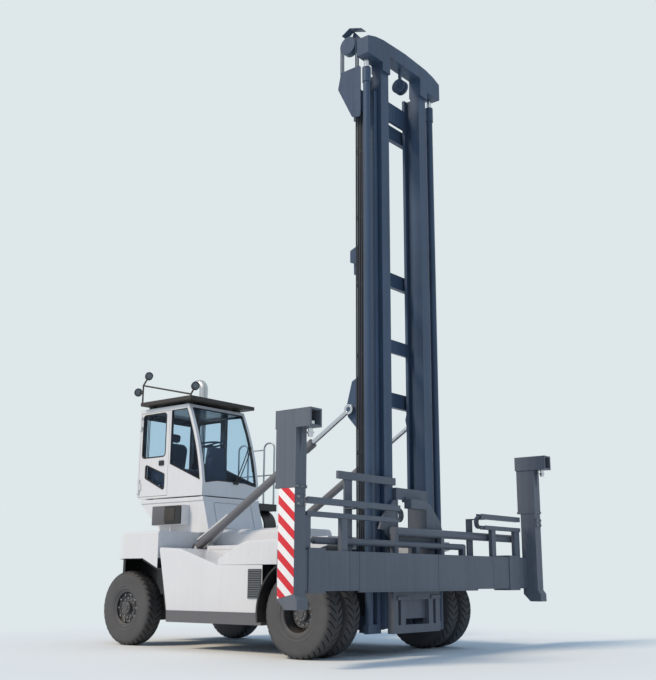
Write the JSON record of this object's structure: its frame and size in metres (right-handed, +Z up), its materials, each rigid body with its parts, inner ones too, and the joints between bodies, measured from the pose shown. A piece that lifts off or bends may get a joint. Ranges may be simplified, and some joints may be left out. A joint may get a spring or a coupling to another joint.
{
  "type": "empty container handler",
  "caption": "Port lift truck for empty containers: twin-wheel front axle, tall two-stage mast, telescopic side spreader, raised cab and steered rear wheels.",
  "frame": {"origin": "centre of the bounding box in plan, on the ground", "axes": "+X forward, towards the spreader; +Y to the driver's left; +Z up"},
  "size_m": [6.101, 6.094, 9.37],
  "materials": {
    "white_paint": "gloss paint",
    "dark_frame": "satin paint",
    "mast_paint": "satin paint",
    "rim_paint": "satin paint",
    "glass": "tinted",
    "tyre": "worn rubber",
    "chrome_rod": "polished",
    "rubber_hose": "matte",
    "trim": "matte"
  },
  "bodies": {
    "chassis": {"cab_glass": "glass", "cab_shell": "white_paint", "chassis_frame": "dark_frame", "counterweight": "white_paint", "deck": "white_paint", "drive_axle": "dark_frame", "engine": "dark_frame", "exhaust": "chrome_rod", "fenders": "white_paint", "handrails": "chrome_rod", "hood": "white_paint", "louvres": "dark_frame", "mudguards": "dark_frame", "pedestal": "white_paint", "platform": "dark_frame", "roof_rack": "dark_frame", "seat": "trim", "side_bodies": "white_paint", "side_skirts": "dark_frame", "steer_axle": "dark_frame", "steering_column": "trim", "tilt_struts": "white_paint", "work_lamps": "dark_frame"},
    "front_wheel_left": {"front_tyres_left": "tyre", "front_rim_left": "rim_paint"},
    "front_wheel_right": {"front_tyres_right": "tyre", "front_rim_right": "rim_paint"},
    "knuckle_left": {"knuckle_left": "dark_frame"},
    "knuckle_right": {"knuckle_right": "dark_frame"},
    "rear_wheel_left": {"rear_tyre_left": "tyre", "rear_rim_left": "rim_paint"},
    "rear_wheel_right": {"rear_tyre_right": "tyre", "rear_rim_right": "rim_paint"},
    "door_left": {"door_left": "white_paint", "door_left_glass": "glass"},
    "door_right": {"door_right": "white_paint", "door_right_glass": "glass"},
    "mast_outer": {"outer_mast": "mast_paint", "tilt_brackets": "mast_paint", "lift_barrels": "mast_paint", "mast_hoses": "rubber_hose", "hose_guard": "mast_paint"},
    "mast_inner": {"inner_mast": "mast_paint", "lift_rods": "chrome_rod", "hose_sheave": "mast_paint"},
    "spreader": {"carriage": "mast_paint", "spreader_beam": "mast_paint", "spreader_cylinders": "mast_paint", "cable_trays": "mast_paint"},
    "arm_left": {"arm_left": "mast_paint", "post_left": "mast_paint", "twist_lock_left": "chrome_rod"},
    "arm_right": {"arm_right": "mast_paint", "post_right": "mast_paint", "twist_lock_right": "chrome_rod"},
    "tilt_barrel_left": {"tilt_barrel_left": "mast_paint"},
    "tilt_barrel_right": {"tilt_barrel_right": "mast_paint"},
    "tilt_rod_left": {"tilt_rod_left": "chrome_rod"},
    "tilt_rod_right": {"tilt_rod_right": "chrome_rod"}
  },
  "joints": [
    {"name": "front_wheel_left_spin", "type": "hinge", "parent": "chassis", "child": "front_wheel_left", "pos_m": [1.7195, 1.3935, 0.5625], "axis": [0, 1, 0], "continuous": true},
    {"name": "front_wheel_right_spin", "type": "hinge", "parent": "chassis", "child": "front_wheel_right", "pos_m": [1.7195, -1.3935, 0.5625], "axis": [0, 1, 0], "continuous": true},
    {"name": "steer_left", "type": "hinge", "parent": "chassis", "child": "knuckle_left", "pos_m": [-2.1925, 0.93, 0.5625], "axis": [0, 0, 1], "range_deg": [-55, 55]},
    {"name": "steer_right", "type": "hinge", "parent": "chassis", "child": "knuckle_right", "pos_m": [-2.1925, -0.93, 0.5625], "axis": [0, 0, 1], "range_deg": [-55, 55]},
    {"name": "rear_wheel_left_spin", "type": "hinge", "parent": "knuckle_left", "child": "rear_wheel_left", "pos_m": [-2.1925, 1.156, 0.5625], "axis": [0, 1, 0], "continuous": true},
    {"name": "rear_wheel_right_spin", "type": "hinge", "parent": "knuckle_right", "child": "rear_wheel_right", "pos_m": [-2.1925, -1.156, 0.5625], "axis": [0, 1, 0], "continuous": true},
    {"name": "door_left", "type": "hinge", "parent": "chassis", "child": "door_left", "pos_m": [-2.7785, 0.6693, 2.35], "axis": [0, 0, 1], "range_deg": [0, 85]},
    {"name": "door_right", "type": "hinge", "parent": "chassis", "child": "door_right", "pos_m": [-2.7785, -0.6693, 2.35], "axis": [0, 0, -1], "range_deg": [0, 85]},
    {"name": "mast_tilt", "type": "hinge", "parent": "chassis", "child": "mast_outer", "pos_m": [1.7195, 0, 0.5625], "axis": [0, 1, 0], "range_deg": [-3, 5]},
    {"name": "tilt_cylinder_left_swing", "type": "hinge", "parent": "chassis", "child": "tilt_barrel_left", "pos_m": [-1.1505, 0.8, 1.475], "axis": [0, 1, 0], "range_deg": [-2, 3]},
    {"name": "tilt_cylinder_left_slide", "type": "slide", "parent": "tilt_barrel_left", "child": "tilt_rod_left", "axis": [0.8504, 0, 0.5262], "range_m": [-0.13, 0.21]},
    {"name": "tilt_cylinder_right_swing", "type": "hinge", "parent": "chassis", "child": "tilt_barrel_right", "pos_m": [-1.1505, -0.8, 1.475], "axis": [0, 1, 0], "range_deg": [-2, 3]},
    {"name": "tilt_cylinder_right_slide", "type": "slide", "parent": "tilt_barrel_right", "child": "tilt_rod_right", "axis": [0.8504, 0, 0.5262], "range_m": [-0.13, 0.21]},
    {"name": "mast_lift", "type": "slide", "parent": "mast_outer", "child": "mast_inner", "axis": [0, 0, 1], "range_m": [0, 6.2]},
    {"name": "carriage_lift", "type": "slide", "parent": "mast_inner", "child": "spreader", "axis": [0, 0, 1], "range_m": [0, 6.2]},
    {"name": "arm_left_slide", "type": "slide", "parent": "spreader", "child": "arm_left", "axis": [0, 1, 0], "range_m": [0, 3.066]},
    {"name": "arm_right_slide", "type": "slide", "parent": "spreader", "child": "arm_right", "axis": [0, -1, 0], "range_m": [0, 3.066]}
  ],
  "couplings": [
    {"joint": "steer_right", "follows": "steer_left", "ratio": 1},
    {"joint": "tilt_cylinder_left_swing", "follows": "mast_tilt", "ratio": 0.45082},
    {"joint": "tilt_cylinder_left_slide", "follows": "mast_tilt", "m_per_rad": 2.2702},
    {"joint": "tilt_cylinder_right_swing", "follows": "mast_tilt", "ratio": 0.45082},
    {"joint": "tilt_cylinder_right_slide", "follows": "mast_tilt", "m_per_rad": 2.2702},
    {"joint": "carriage_lift", "follows": "mast_lift", "ratio": 1},
    {"joint": "arm_right_slide", "follows": "arm_left_slide", "ratio": 1}
  ]
}
